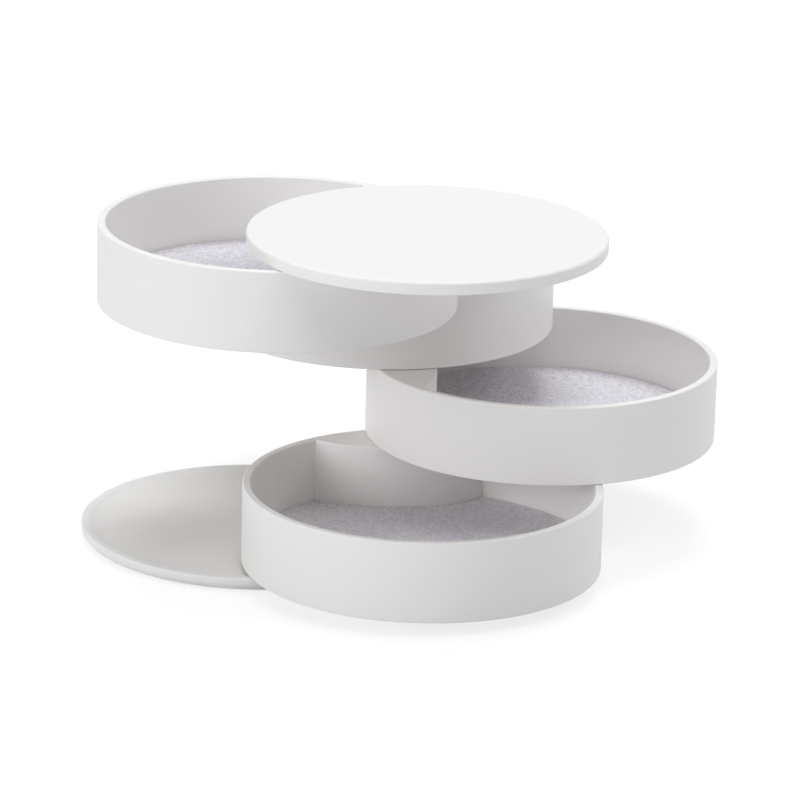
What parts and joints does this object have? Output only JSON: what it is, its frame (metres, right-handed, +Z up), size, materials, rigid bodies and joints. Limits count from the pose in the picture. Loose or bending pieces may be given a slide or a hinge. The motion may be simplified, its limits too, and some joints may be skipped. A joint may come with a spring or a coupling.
{
  "type": "tiered accessory tray",
  "caption": "Round trays with felt liners, a flat lid and a shallow dish base, stacked on one upright pivot at their edge so that each tier swings out.",
  "frame": {"origin": "on the pivot axis, in the plane that the base's pad rests on", "axes": "+Z up along the pivot axis, X to the right and -Y towards the viewer in the picture's arrangement of the tiers"},
  "size_m": [0.2067, 0.2078, 0.1145],
  "materials": {
    "white_plastic": "satin white moulding",
    "grey_felt": "needled felt, lavender grey",
    "bearing_plastic": "natural bearing plastic",
    "steel": "plain turned steel",
    "pad_rubber": "matt non-slip sheet"
  },
  "bodies": {
    "base": {"base_dish": "white_plastic", "base_pad": "pad_rubber"},
    "tray_4": {"tray_4_shell": "white_plastic", "tray_4_felt": "grey_felt", "tray_4_upper_bush": "bearing_plastic", "tray_4_lower_bush": "bearing_plastic"},
    "tray_3": {"tray_3_shell": "white_plastic", "tray_3_felt": "grey_felt", "tray_3_upper_bush": "bearing_plastic", "tray_3_lower_bush": "bearing_plastic"},
    "tray_2": {"tray_2_shell": "white_plastic", "tray_2_felt": "grey_felt", "tray_2_upper_bush": "bearing_plastic", "tray_2_lower_bush": "bearing_plastic"},
    "tray_1": {"tray_1_shell": "white_plastic", "tray_1_felt": "grey_felt", "tray_1_upper_bush": "bearing_plastic", "tray_1_lower_bush": "bearing_plastic"},
    "lid": {"lid_disc": "white_plastic", "pivot_shaft": "steel", "spring_washer": "steel", "retaining_washer": "steel", "retaining_screw": "steel"}
  },
  "joints": [
    {"name": "tray_4_swing", "type": "hinge", "parent": "base", "child": "tray_4", "pos_m": [0, 0, 0.0183], "axis": [0, 0, 1], "continuous": true},
    {"name": "tray_3_swing", "type": "hinge", "parent": "base", "child": "tray_3", "pos_m": [0, 0, 0.0446], "axis": [0, 0, 1], "continuous": true},
    {"name": "tray_2_swing", "type": "hinge", "parent": "base", "child": "tray_2", "pos_m": [0, 0, 0.0709], "axis": [0, 0, 1], "continuous": true},
    {"name": "tray_1_swing", "type": "hinge", "parent": "base", "child": "tray_1", "pos_m": [0, 0, 0.0972], "axis": [0, 0, 1], "continuous": true},
    {"name": "lid_swing", "type": "hinge", "parent": "base", "child": "lid", "pos_m": [0, 0, 0.1125], "axis": [0, 0, 1], "continuous": true}
  ]
}
